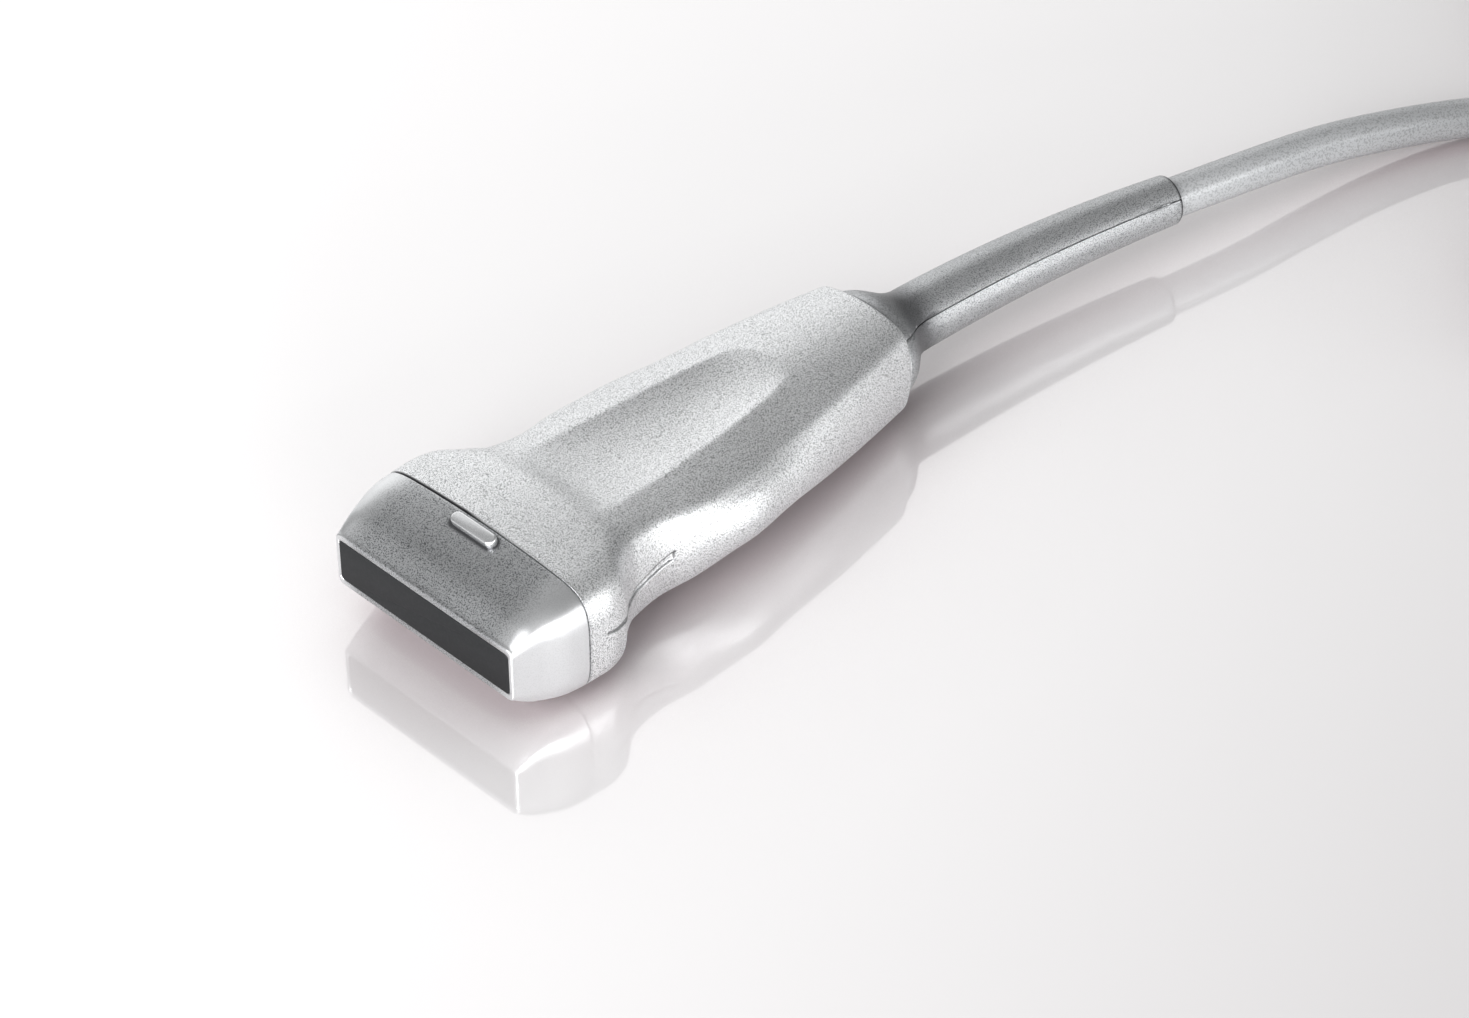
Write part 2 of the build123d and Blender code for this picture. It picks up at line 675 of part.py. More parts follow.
with BuildPart() as cable_end:
    with BuildLine():
        to_tail = Line((cable_end_x, 0, 0), (handle_end, 0, 0))
        TangentArc(to_tail @ 1, exit_plane.origin, tangent=(1, 0, 0))
    with BuildSketch(Plane.YZ.offset(cable_end_x)):
        Circle(cable_radius)
    sweep()
save(cable_end.part, "cable_end")

with BuildPart() as strain_relief:
    loft([relief_face(*station) for station in sleeve_stations])
    fillet(strain_relief.faces().sort_by(Axis.X)[-1].edges(), relief_edge)
    loft([relief_face(*station) for station in bell_stations])
    with BuildSketch(Plane.YZ.offset(cavity_stop)):
        Ellipse(neck_half_width, neck_half_height)
    extrude(amount=end_wall)
    with BuildSketch(Plane.YZ.offset(cavity_stop - slide_gap)):
        Ellipse(neck_half_width + neck_lip, neck_half_height + neck_lip)
    extrude(amount=-neck_lip)
    with BuildSketch(Plane.YZ.offset(cavity_stop - slide_gap)):
        Ellipse(neck_half_width, neck_half_height)
    extrude(amount=slide_gap)
    with BuildLine():
        to_bend = Line((cavity_stop - neck_lip - 1, 0, 0), (handle_end, 0, 0))
        bore_bend = TangentArc(to_bend @ 1, exit_plane.origin, tangent=(1, 0, 0))
        Line(bore_bend @ 1, (bore_bend @ 1) + (bore_bend % 1) * 2)
    with BuildSketch(Plane.YZ.offset(cavity_stop - neck_lip - 1)):
        Circle(cable_radius + slide_gap)
    sweep(mode=Mode.SUBTRACT)
    for stations in (bell_stations, sleeve_stations):
        loft([slit_face(*station) for station in stations], mode=Mode.SUBTRACT)
save(strain_relief.part, "strain_relief")

# Crimp ferrule: clamps the cable's screen between the clamp and the strain relief
ferrule_x = cavity_stop - neck_lip - slide_gap - 0.3 - ferrule_length
with BuildPart() as crimp_ferrule:
    with BuildSketch(Plane.YZ.offset(ferrule_x)):
        Circle(cable_radius + slide_gap + ferrule_wall)
        Circle(cable_radius + slide_gap, mode=Mode.SUBTRACT)
    extrude(amount=ferrule_length)
save(crimp_ferrule.part, "crimp_ferrule")

# Cable: it leaves the strain relief, comes down to the surface and runs to its coil. The rest of
# its length is wound in two layers, and its end passes over the lead to the connector.
coil_outer_turn = coil_inner_turn + (coil_columns - 1) * 2 * cable_radius
coil_top = floor_z + coil_layers * 2 * cable_radius
top_layer_z = coil_top - cable_radius
plug_z = top_layer_z + tail_rise
plug_half_height = plug_z - floor_z
lead_start = exit_plane.origin
lead_second = lead_start + exit_plane.z_dir * lead_run
lead_route = [
    (lead_start.X, lead_start.Y, lead_start.Z),
    (lead_second.X, lead_second.Y, lead_second.Z),
    (208.0, -13.0, -3.5),
    (225.0, -17.1, -5.9),
    (241.0, -23.2, -7.9),
    (253.8, -32.2, floor_cable_z),
    (262.5, -44.0, floor_cable_z),
    (267.3, -57.6, floor_cable_z),
]
tail_route = [
    (272.5, -17.8, top_layer_z),
    (266.5, -28.2, plug_z),
    (258.5, -38.0, plug_z),
    (249.5, -46.2, plug_z),
]

# Cable coil: the outer shape of the wound turns, lying on the surface
with BuildPart() as cable_coil:
    with BuildSketch(Plane(origin=(*coil_centre, 0), x_dir=(1, 0, 0), z_dir=(0, -1, 0))):
        with Locations(((coil_inner_turn + coil_outer_turn) / 2, (floor_z + coil_top) / 2)):
            RectangleRounded(coil_columns * 2 * cable_radius, coil_top - floor_z, cable_radius * 0.98)
    revolve(axis=Axis((*coil_centre, 0), (0, 0, 1)))
save(cable_coil.part, "cable_coil")
turns = coil_columns * coil_layers
coiled = turns * pi * (coil_inner_turn + coil_outer_turn)
print(f"cable_coil: {turns} turns, length {coiled:.0f}")


def bend_radii(route):
    """Radius of each bend of a route: nearly as large as its shorter run allows."""
    points = [Vector(*point) for point in route]
    radii = []
    for before, corner, after in zip(points, points[1:], points[2:]):
        turn = radians((corner - before).get_angle(after - corner))
        shorter = min((corner - before).length, (after - corner).length)
        radii.append(0.45 * shorter / tan(turn / 2))
    return radii


def cable_tube(route, name):
    """One loose stretch of the cable: straight runs joined by tangent arcs, trimmed at the coil."""
    radii = bend_radii(route)
    with BuildPart() as tube:
        with BuildLine() as path:
            FilletPolyline(*route, radius=radii)
        with BuildSketch(Plane(origin=path.line @ 0, z_dir=path.line % 0)):
            Circle(cable_radius)
        sweep()
        swept = tube.part.volume
        add(cable_coil.part, mode=Mode.SUBTRACT)
    length = path.wire().length
    expected = pi * cable_radius ** 2 * length
    print(f"{name}: length {length:.1f}, volume {swept:.0f} of {expected:.0f},"
          f" radii {[round(radius) for radius in radii]}")
    save(tube.part, name)


cable_tube(lead_route, "cable_lead")
cable_tube(tail_route, "cable_tail")

# The connector is drawn along X from the mouth of its strain relief, then laid at the cable's end.
plug_mouth = Vector(*tail_route[-1])
plug_place = Plane(origin=plug_mouth, x_dir=plug_mouth - Vector(*tail_route[-2]), z_dir=(0, 0, 1)).location
plug_rear = plug_relief_length
plug_front = plug_rear + plug_length
plug_middle = (plug_rear + plug_front) / 2
boss_places = [(plug_middle + sx * boss_x, sy * boss_y) for sx in (-1, 1) for sy in (-1, 1)]
inner_half_height = plug_half_height - plug_wall
screw_seat = plug_screw_sink - plug_half_height
plug_lip_x = plug_rear + plug_wall + slide_gap
print("connector mouth and heading:", plug_place)


def lay(solid, name):
    """Lay a piece of the connector at the cable's end and write its file."""
    save(solid.moved(plug_place), name)


# Connector strain relief: a moulded taper held by its lip behind the rear wall
with BuildPart() as connector_strain_relief:
    with BuildSketch(Plane.XY):
        with BuildLine():
            Polyline((0, 0), (0, plug_relief_tip), (plug_rear, plug_relief_root),
                     (plug_rear, plug_neck_radius), (plug_lip_x, plug_neck_radius),
                     (plug_lip_x, plug_lip_radius), (plug_lip_x + plug_lip, plug_lip_radius),
                     (plug_lip_x + plug_lip, 0), close=True)
        make_face()
    revolve(axis=Axis.X)
    with BuildSketch(Plane.YZ):
        Circle(cable_radius + slide_gap)
    extrude(amount=plug_length, mode=Mode.SUBTRACT)
lay(connector_strain_relief.part, "connector_strain_relief")

# Connector ferrule: crimped on the cable's screen behind the lip
plug_ferrule_x = plug_lip_x + plug_lip + 0.5
plug_cable_stop = plug_ferrule_x + ferrule_length + 1.0
with BuildPart() as connector_ferrule:
    with BuildSketch(Plane.YZ.offset(plug_ferrule_x)):
        Circle(cable_radius + slide_gap + ferrule_wall)
        Circle(cable_radius + slide_gap, mode=Mode.SUBTRACT)
    extrude(amount=ferrule_length)
lay(connector_ferrule.part, "connector_ferrule")

# Cable end in the connector
with BuildPart() as connector_cable_end:
    with BuildSketch(Plane.YZ):
        Circle(cable_radius)
    extrude(amount=plug_cable_stop)
lay(connector_cable_end.part, "connector_cable_end")

# Conductor fan in the connector: the bundle spreads flat to the board's rear edge
plug_board_rear = plug_cable_stop + 5.0
with BuildPart() as connector_conductor_fan:
    with BuildSketch(Plane.YZ.offset(plug_cable_stop)):
        RectangleRounded(cable_radius * 1.4, cable_radius * 1.4, 1.0)
    with BuildSketch(Plane.YZ.offset(plug_board_rear)):
        RectangleRounded(2 * plug_fan_half_width, plug_board_thickness, 0.4)
    loft()
lay(connector_conductor_fan.part, "connector_conductor_fan")

# Connector board: between the shells, its rear edge at the conductors
plug_board_front = plug_front - plug_wall - slide_gap - block_flange
with BuildPart() as connector_board:
    with BuildSketch(Plane.XY.offset(-plug_board_thickness / 2)):
        with Locations(((plug_board_rear + plug_board_front) / 2, 0)):
            Rectangle(plug_board_front - plug_board_rear, 2 * plug_board_half_width)
        with Locations(boss_places):
            Circle(boss_radius + fit_gap, mode=Mode.SUBTRACT)
        with Locations((plug_board_front, pin_y), (plug_board_front, -pin_y)):
            Rectangle(2 * pin_head_length, 2 * (pin_head_radius + fit_gap), mode=Mode.SUBTRACT)
    extrude(amount=plug_board_thickness)
lay(connector_board.part, "connector_board")

# Contact block: a moulded tongue held by its flange behind the front wall
with BuildPart() as contact_block:
    with BuildSketch(Plane.YZ.offset(plug_board_front)):
        RectangleRounded(block_width, block_flange_height, 1.0)
    extrude(amount=block_flange)
    with BuildSketch(Plane.YZ.offset(plug_board_front + block_flange)):
        RectangleRounded(block_width, block_height, 1.0)
    extrude(amount=plug_wall + slide_gap + block_reach)
lay(contact_block.part, "contact_block")

# Contacts: plated pads on the upper and lower faces of the block
with BuildPart() as connector_contacts:
    with BuildSketch(Plane.XY.offset(block_height / 2)):
        with Locations((plug_front + block_reach - contact_length / 2 - 1.0, 0)):
            with GridLocations(0, contact_pitch, 1, contact_count):
                Rectangle(contact_length, contact_width)
    extrude(amount=contact_rise)
    mirror(about=Plane.XY)
lay(connector_contacts.part, "connector_contacts")

# Guide pins: two turned pins, headed behind the front wall
with BuildPart() as guide_pins:
    with BuildSketch(Plane.YZ.offset(plug_front - plug_wall - slide_gap - pin_head_length)):
        with Locations((pin_y, 0), (-pin_y, 0)):
            Circle(pin_head_radius)
    extrude(amount=pin_head_length)
    with BuildSketch(Plane.YZ.offset(plug_front - plug_wall - slide_gap)):
        with Locations((pin_y, 0), (-pin_y, 0)):
            Circle(pin_radius)
    extrude(amount=plug_wall + slide_gap + pin_reach)
    chamfer(guide_pins.faces().group_by(Axis.X)[-1].edges(), 0.5)
lay(guide_pins.part, "guide_pins")

# Connector shells: two moulded halves that meet in the middle plane
with BuildPart() as plug_shell:
    with BuildSketch(Plane.XY.offset(-plug_half_height)):
        with Locations((plug_middle, 0)):
            RectangleRounded(plug_length, plug_width, plug_corner)
    extrude(amount=plug_half_height)
    fillet(plug_shell.faces().sort_by(Axis.Z)[0].edges(), plug_edge)
    with BuildSketch(Plane.XY.offset(-inner_half_height)):
        with Locations((plug_middle, 0)):
            RectangleRounded(plug_length - 2 * plug_wall, plug_width - 2 * plug_wall,
                             plug_corner - plug_wall)
    extrude(amount=inner_half_height, mode=Mode.SUBTRACT)
    with BuildSketch(Plane.XY.offset(-inner_half_height - plug_wall / 2)):
        with Locations(boss_places):
            Circle(boss_radius)
    extrude(amount=inner_half_height + plug_wall / 2)
    with BuildSketch(Plane.YZ.offset(plug_front - plug_wall - 1)):
        Rectangle(block_width + 2 * fit_gap, block_height + 2 * fit_gap)
        with Locations((pin_y, 0), (-pin_y, 0)):
            Circle(pin_radius + slide_gap)
    extrude(amount=plug_wall + 2, mode=Mode.SUBTRACT)
    with BuildSketch(Plane.YZ.offset(plug_rear - 1)):
        Circle(plug_neck_radius + fit_gap)
    extrude(amount=plug_wall + 2, mode=Mode.SUBTRACT)

with BuildPart() as connector_shell_upper:
    add(plug_shell.part.mirror(Plane.XY))
    with BuildSketch(Plane.XY.offset(-1)):
        with Locations(boss_places):
            Circle(plug_screw_radius + slide_gap)
    extrude(amount=plug_screw_grip + 1.5, mode=Mode.SUBTRACT)
lay(connector_shell_upper.part, "connector_shell_upper")

with BuildPart() as connector_shell_lower:
    add(plug_shell.part)
    with BuildSketch(Plane.XY.offset(screw_seat - 1)):
        with Locations(boss_places):
            Circle(plug_screw_radius + fit_gap)
    extrude(amount=plug_half_height + 2, mode=Mode.SUBTRACT)
    with BuildSketch(Plane.XY.offset(screw_seat)):
        with Locations(boss_places):
            Circle(plug_screw_head + fit_gap)
    extrude(amount=-plug_screw_sink - 1, mode=Mode.SUBTRACT)
lay(connector_shell_lower.part, "connector_shell_lower")

# Connector screws: four, sunk in the lower shell, that draw the halves together
with BuildPart() as connector_screws:
    with BuildSketch(Plane.XY.offset(screw_seat)):
        with Locations(boss_places):
            Circle(plug_screw_radius)
    extrude(amount=plug_screw_grip - screw_seat)
    with BuildSketch(Plane.XY.offset(screw_seat)):
        with Locations(boss_places):
            Circle(plug_screw_head)
    extrude(amount=-plug_screw_head_height)
lay(connector_screws.part, "connector_screws")
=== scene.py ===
import math

import bmesh
import bpy
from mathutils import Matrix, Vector


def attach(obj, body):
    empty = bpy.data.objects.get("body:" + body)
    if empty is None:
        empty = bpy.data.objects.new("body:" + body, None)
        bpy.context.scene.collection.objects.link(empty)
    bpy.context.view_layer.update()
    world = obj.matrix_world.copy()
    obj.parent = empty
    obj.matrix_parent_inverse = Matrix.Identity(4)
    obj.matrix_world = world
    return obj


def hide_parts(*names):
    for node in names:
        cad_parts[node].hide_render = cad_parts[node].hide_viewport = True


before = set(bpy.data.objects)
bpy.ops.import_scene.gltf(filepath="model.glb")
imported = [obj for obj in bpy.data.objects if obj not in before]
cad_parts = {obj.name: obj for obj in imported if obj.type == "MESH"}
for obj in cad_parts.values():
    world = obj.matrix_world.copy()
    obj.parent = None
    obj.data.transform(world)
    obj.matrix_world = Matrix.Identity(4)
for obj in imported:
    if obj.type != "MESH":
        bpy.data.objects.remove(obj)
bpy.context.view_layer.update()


# Camera
# It looks down on the probe as the photograph does, from in front of its lens and to its near side,
# through a long lens. The picture's frame is 1469 by 1018.
bpy.ops.object.select_all(action="DESELECT")
bpy.ops.object.camera_add(location=(-0.348155, -0.428028, 0.471022))
camera = bpy.context.object
camera.name = "camera"
camera.rotation_euler = (math.radians(50.743), math.radians(0.255), math.radians(-44.547))
camera.data.sensor_width = 36.0
camera.data.lens = 110.28
camera.data.clip_start = 0.05
camera.data.clip_end = 20.0
bpy.context.scene.camera = camera


# Cable
# Fine coaxial cores in a braided screen, under an extruded grey jacket of 7.5 mm. It leaves the strain
# relief, comes down to the surface, and its spare length is wound in two layers. Its points are those
# of the CAD's route, and the coil's lie outside each turn, which the line cuts.
cable_radius = 0.00375
lead = [
    (0.17331, -0.00714, -0.00113),
    (0.18948, -0.01039, -0.00165),
    (0.20800, -0.01300, -0.00350),
    (0.22500, -0.01710, -0.00590),
    (0.24100, -0.02320, -0.00790),
    (0.25380, -0.03220, -0.00840),
    (0.26250, -0.04400, -0.00840),
    (0.26730, -0.05760, -0.00840),
]
coil_centre = (0.318, -0.044)
lower_layer, upper_layer = -0.0084, -0.0009
turn_radii = [0.0525, 0.0450, 0.0375, 0.0300, 0.0300, 0.0375, 0.0450, 0.0525]
entry_angle = math.radians(-165)
steps, shift_step, last_step = 16, 11, 14
spread = 1.0 / (0.75 + 0.25 * math.cos(2 * math.pi / steps))
turns = []
for turn, radius in enumerate(turn_radii):
    next_radius = turn_radii[min(turn + 1, len(turn_radii) - 1)]
    height = lower_layer if turn < 4 else upper_layer
    next_height = lower_layer if turn < 3 else upper_layer
    for step in range(steps):
        if turn == 0 and step == 0 or turn == 7 and step >= last_step:
            continue
        share = max(0.0, (step - shift_step) / (steps - shift_step))
        angle = entry_angle + 2 * math.pi * step / steps
        reach = (radius + (next_radius - radius) * share) * spread
        turns.append((coil_centre[0] + reach * math.cos(angle),
                      coil_centre[1] + reach * math.sin(angle),
                      height + (next_height - height) * share))
tail = [
    (0.27250, -0.01780, -0.00090),
    (0.26650, -0.02820, -0.00060),
    (0.25850, -0.03800, -0.00060),
    (0.24950, -0.04620, -0.00060),
]
bpy.ops.object.select_all(action="DESELECT")
cable_line = bpy.data.curves.new("cable", "CURVE")
cable_line.dimensions = "3D"
route = cable_line.splines.new("NURBS")
points = lead + turns + tail
route.points.add(len(points) - 1)
for point, place in zip(route.points, points):
    point.co = (*place, 1.0)
route.order_u = 3
route.use_endpoint_u = True
route.resolution_u = 6
cable = bpy.data.objects.new("cable", cable_line)
bpy.context.collection.objects.link(cable)
followed = bpy.data.meshes.new_from_object(cable)
cable_line.bevel_depth = cable_radius
cable_line.bevel_resolution = 5
cable_line.use_fill_caps = True
bpy.context.view_layer.objects.active = cable
cable.select_set(True)
bpy.ops.object.convert(target="MESH")
cable = bpy.context.object
bpy.ops.object.shade_smooth_by_angle(angle=math.radians(40))
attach(cable, "root")
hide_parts("cable_lead", "cable_coil", "cable_tail")


# Surface and light
# A glossy white sweep in a pale room, with painted shade that darkens it towards the near side and a
# warm painted contact shadow where something stands close over it. A large soft light stands on the
# left, low ones on the near side and in front, and the room is brightest low down behind the probe.
# Nothing hangs over the front right, so the flank that faces there is dark.
def added(tree, kind, **settings):
    """A new shader node of a kind, with its own settings."""
    node = tree.nodes.new("ShaderNode" + kind)
    for setting, value in settings.items():
        setattr(node, setting, value)
    return node


def ramp(tree, value, start, end, low=0.0, high=1.0, smooth=True):
    """A value between start and end, taken to one between low and high."""
    way = added(tree, "MapRange", interpolation_type="SMOOTHSTEP" if smooth else "LINEAR")
    for socket, number in (("From Min", start), ("From Max", end), ("To Min", low), ("To Max", high)):
        way.inputs[socket].default_value = number
    tree.links.new(value, way.inputs["Value"])
    return way.outputs["Result"]


def along(tree, place, direction):
    """How far a place lies along a direction."""
    reach = added(tree, "VectorMath", operation="DOT_PRODUCT")
    reach.inputs[1].default_value = direction
    tree.links.new(place, reach.inputs[0])
    return reach.outputs["Value"]


def blended(tree, amount, one, other):
    """A colour between two, each of them a fixed colour or a node's output."""
    mix = added(tree, "Mix", data_type="RGBA")
    tree.links.new(amount, mix.inputs["Factor"])
    for socket, colour in (("A", one), ("B", other)):
        if isinstance(colour, tuple):
            mix.inputs[socket].default_value = (*colour, 1.0)
        else:
            tree.links.new(colour, mix.inputs[socket])
    return mix.outputs["Result"]


bpy.ops.object.select_all(action="DESELECT")
bpy.ops.mesh.primitive_plane_add(size=12.0, location=(0.15, 0.0, -0.0124))
sweep = bpy.context.object
sweep.name = "studio_floor"
bpy.ops.object.transform_apply(location=True, rotation=True, scale=True)
floor_paint = bpy.data.materials.new("studio_floor")
floor_paint.use_nodes = True
tree = floor_paint.node_tree
shader = tree.nodes["Principled BSDF"]
spot = added(tree, "TexCoord").outputs["Object"]
# Painted shade: the floor's colour falls from white to grey towards the near side.
painted_falloff = ramp(tree, along(tree, spot, (0.25, -0.95, 0.0)), -0.16, 0.26, smooth=False)
white, grey, warm_shade = (0.97, 0.955, 0.96), (0.56, 0.545, 0.55), (0.44, 0.385, 0.395)
# Painted contact shadow: a warm shade where the floor lies close under something.
covered = added(tree, "AmbientOcclusion", samples=8)
covered.inputs["Distance"].default_value = 0.05
openness = ramp(tree, covered.outputs["AO"], 0.35, 0.95, smooth=False)
tree.links.new(blended(tree, openness, warm_shade, blended(tree, painted_falloff, white, grey)),
               shader.inputs["Base Color"])
shader.inputs["Roughness"].default_value = 0.06
shader.inputs["IOR"].default_value = 2.7
sweep.data.materials.append(floor_paint)

for name, place, aim, width, height, power in [
        ("key_light", (-1.6, -0.24, 0.99), (0.05, 0.0, 0.0), 1.44, 1.12, 60.0),
        ("near_light", (0.10, -1.15, 0.20), (0.06, 0.0, 0.0), 1.8, 0.55, 9.0),
        ("front_light", (-0.45, -1.05, 0.08), (0.03, 0.0, 0.0), 0.7, 0.4, 12.0)]:
    turn = (Vector(aim) - Vector(place)).to_track_quat("-Z", "Y").to_euler()
    bpy.ops.object.select_all(action="DESELECT")
    bpy.ops.object.light_add(type="AREA", location=place, rotation=turn)
    lamp = bpy.context.object
    lamp.name = name
    lamp.data.shape = "RECTANGLE"
    lamp.data.size = width
    lamp.data.size_y = height
    lamp.data.energy = power
    lamp.visible_camera = False
world = bpy.data.worlds.new("studio")
bpy.context.scene.world = world
world.use_nodes = True
room = world.node_tree
facing = along(room, added(room, "TexCoord").outputs["Generated"], (0.45, 0.80, 0.40))
room.links.new(ramp(room, facing, 0.78, 0.98, low=0.18, high=1.28),
               room.nodes["Background"].inputs["Strength"])
room.nodes["Background"].inputs["Color"].default_value = (1.0, 1.0, 1.0, 1.0)
bpy.context.scene.view_settings.view_transform = "Standard"


# Handle
# One moulded shell in silver-grey plastic with a fine spark-eroded texture, a thumb recess above and
# below, and a shallow index groove on its near side. It is drawn from crowned sections, as its mould
# was, because recess and groove run out into it too gently for extrudes and bevels.
def row_at(rows, place):
    """A table's row at any place, on smooth curves through the given rows."""
    def slope(i, column):
        before, after = [(rows[j + 1][column] - rows[j][column]) / (rows[j + 1][0] - rows[j][0])
                         for j in (max(i - 1, 0), min(i, len(rows) - 2))]
        return 2 * before * after / (before + after) if before * after > 0 else 0.0
    i = max(j for j in range(len(rows) - 1) if rows[j][0] <= place or j == 0)
    span = rows[i + 1][0] - rows[i][0]
    u = min(max((place - rows[i][0]) / span, 0.0), 1.0)
    row = []
    for column in range(1, len(rows[i])):
        a, b = rows[i][column], rows[i + 1][column]
        row.append((2 * u ** 3 - 3 * u ** 2 + 1) * a + (u ** 3 - 2 * u ** 2 + u) * slope(i, column) * span
                   + (3 * u ** 2 - 2 * u ** 3) * b + (u ** 3 - u ** 2) * slope(i + 1, column) * span)
    return row


def section(half_width, half_height, corner, squareness, inset=0.0):
    """Points round one section, in millimetres: crowned top and bottom, bulged sides, soft corners."""
    w, t = half_width - inset, half_height - inset
    c = max(corner - inset, 0.4)
    top_y, side_z = w - c, t - c
    top_z = t * (1 - (top_y / w) ** squareness) ** (1 / squareness)
    side_y = w * (1 - (side_z / t) ** squareness) ** (1 / squareness)
    top_turn, side_turn = 2 * math.atan2(t - top_z, top_y), 2 * math.atan2(w - side_y, side_z)
    reach = 0.36 * math.hypot(side_y - top_y, top_z - side_z) / math.cos(math.pi / 4)
    bend = [(top_y, top_z), (top_y + reach * math.cos(top_turn), top_z - reach * math.sin(top_turn)),
            (side_y - reach * math.sin(side_turn), side_z + reach * math.cos(side_turn)),
            (side_y, side_z)]
    top_steps, bend_steps, side_steps = 28, 20, 30
    quarter = [(top_y * i / top_steps, t - (t - top_z) * (i / top_steps) ** 2) for i in range(top_steps)]
    for i in range(bend_steps):
        u = i / bend_steps
        parts = ((1 - u) ** 3, 3 * u * (1 - u) ** 2, 3 * u * u * (1 - u), u ** 3)
        quarter.append(tuple(sum(p * q[axis] for p, q in zip(parts, bend)) for axis in (0, 1)))
    for i in range(side_steps + 1):
        z = side_z * (1 - i / side_steps)
        quarter.append((w - (w - side_y) * (z / side_z) ** 2, z))
    lower = [(y, -z) for y, z in quarter[-2::-1]]
    half = quarter + lower
    return half + [(-y, z) for y, z in half[-2:0:-1]]


def lofted(name, rings):
    """A closed skin over rings of points, each a list of (x, y, z) in millimetres, all as many."""
    skin = bmesh.new()
    rows = [[skin.verts.new((x / 1000, y / 1000, z / 1000)) for x, y, z in ring] for ring in rings]
    for one, two in zip(rows, rows[1:] + rows[:1]):
        for i in range(len(one)):
            skin.faces.new((one[i - 1], one[i], two[i], two[i - 1]))
    bmesh.ops.recalc_face_normals(skin, faces=skin.faces)
    mesh = bpy.data.meshes.new(name)
    skin.to_mesh(mesh)
    skin.free()
    piece = bpy.data.objects.new(name, mesh)
    bpy.context.collection.objects.link(piece)
    bpy.ops.object.select_all(action="DESELECT")
    bpy.context.view_layer.objects.active = piece
    piece.select_set(True)
    bpy.ops.object.shade_smooth_by_angle(angle=math.radians(50))
    return piece


def shifted(ring, x):
    """A ring of points set at another place along the probe."""
    return [(x, y, z) for _, y, z in ring]


def turns_round(radius, steps):
    """An edge's rounding: how far each of its rings lies back, and how far it is drawn in."""
    for step in range(steps + 1):
        turn = math.pi / 2 * step / steps
        yield radius * (1 - math.sin(turn)), radius * (1 - math.cos(turn))


nose_length, handle_length, handle_wall = 13.8, 87.7, 2.0
handle_end = nose_length + handle_length
seam_edge, tail_edge, tail_rim, rim_depth = 0.08, 0.6, 2.4, 2.5
# Share of the handle's length, then half width, half height, corner and squareness there.
handle_rows = [
    (0.000, 24.75, 11.55, 8.0, 3.9), (0.050, 24.90, 11.85, 8.0, 3.6), (0.095, 23.92, 12.12, 7.8, 3.4),
    (0.138, 20.87, 12.08, 7.5, 3.2), (0.185, 18.86, 11.40, 7.0, 3.0), (0.250, 18.40, 10.96, 6.6, 2.8),
    (0.345, 19.91, 10.80, 6.3, 2.5), (0.460, 21.00, 10.90, 6.0, 2.15), (0.595, 19.23, 10.90, 6.0, 2.15),
    (0.730, 17.00, 10.78, 6.0, 2.35), (0.870, 14.30, 10.46, 6.0, 2.6), (1.000, 11.70, 10.10, 5.6, 2.8)]
# Share of the length, then the recess floor's height, its width from 0 to 1, and its edge's height.
recess_rows = [
    (0.115, 12.95, 1.02, 12.15), (0.162, 11.60, 1.00, 10.90), (0.208, 10.25, 0.92, 10.35),
    (0.276, 9.26, 0.80, 10.10), (0.367, 8.80, 0.70, 10.00), (0.481, 8.70, 0.46, 10.00),
    (0.595, 8.90, 0.25, 10.10), (0.664, 9.50, 0.12, 10.20), (0.721, 10.40, 0.00, 10.40),
    (0.766, 11.50, -0.08, 11.80)]
narrow_ridge, wide_ridge, crease = 7.2, 12.3, 0.16
# The index groove's upper and lower edge: place along the probe and height.
mark_upper = [(17.5, 0.9), (22.5, 0.3), (27.0, -0.1), (38.2, 1.9)]
mark_lower = [(17.5, 0.75), (22.5, -0.3), (27.0, -1.1), (38.2, 0.6)]
mark_start, mark_end = mark_upper[0][0], mark_upper[-1][0]
mark_depth, mark_flank = 0.4, 0.3


def from_mark(x, z):
    """How far a point lies below the groove's upper edge, above its lower one, and before its end."""
    return row_at(mark_upper, x)[0] - z, z - row_at(mark_lower, x)[0], mark_end - x


def outer_ring(x, inset=0.0, dressed=True):
    """The handle's section at x, with the recesses scooped out and the index groove cut in."""
    share = (x - nose_length) / handle_length
    ring = []
    scoop = row_at(recess_rows, share) if recess_rows[0][0] < share < recess_rows[-1][0] else None
    for y, z in section(*row_at(handle_rows, share), inset):
        if scoop:
            floor, wide, edge = scoop
            ridge = narrow_ridge + (wide_ridge - narrow_ridge) * wide + inset / 2
            bed = floor - inset + (edge - floor) * (y / ridge) ** 2
            blend = max(crease - abs(bed - abs(z)), 0.0) / crease
            z = math.copysign(min(bed, abs(z)) - blend ** 2 * crease / 4, z)
        if dressed and y < -10 and abs(z) < 5 and mark_start < x < mark_end:
            y += mark_depth * min(max(min(from_mark(x, z)) / mark_flank + 0.5, 0.0), 1.0)
        ring.append((x, y, z))
    return ring


handle_rings = []
for back, drawn_in in turns_round(seam_edge, 3):
    handle_rings.append(outer_ring(nose_length + drawn_in, back))
place, step, fine_step = nose_length + 0.4, 0.6, 0.3
while place < handle_end - 0.8:
    handle_rings.append(outer_ring(place))
    place += fine_step if mark_start - 0.5 < place < mark_end + 1.8 else step
for back, drawn_in in turns_round(tail_edge, 4):
    handle_rings.append(outer_ring(handle_end - back, drawn_in))
rim = outer_ring(handle_end, tail_rim, dressed=False)
handle_rings += [rim, shifted(rim, handle_end - rim_depth)]
inner_start, inner_steps = handle_end - 3.0, 16
for step in range(inner_steps + 1):
    place = inner_start - step * (handle_length - 3.4) / inner_steps
    handle_rings.append(outer_ring(place, handle_wall, dressed=False))
handle_rings.append(outer_ring(nose_length, handle_wall, dressed=False))
handle = lofted("handle_shell", handle_rings)
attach(handle, "root")
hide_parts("handle")


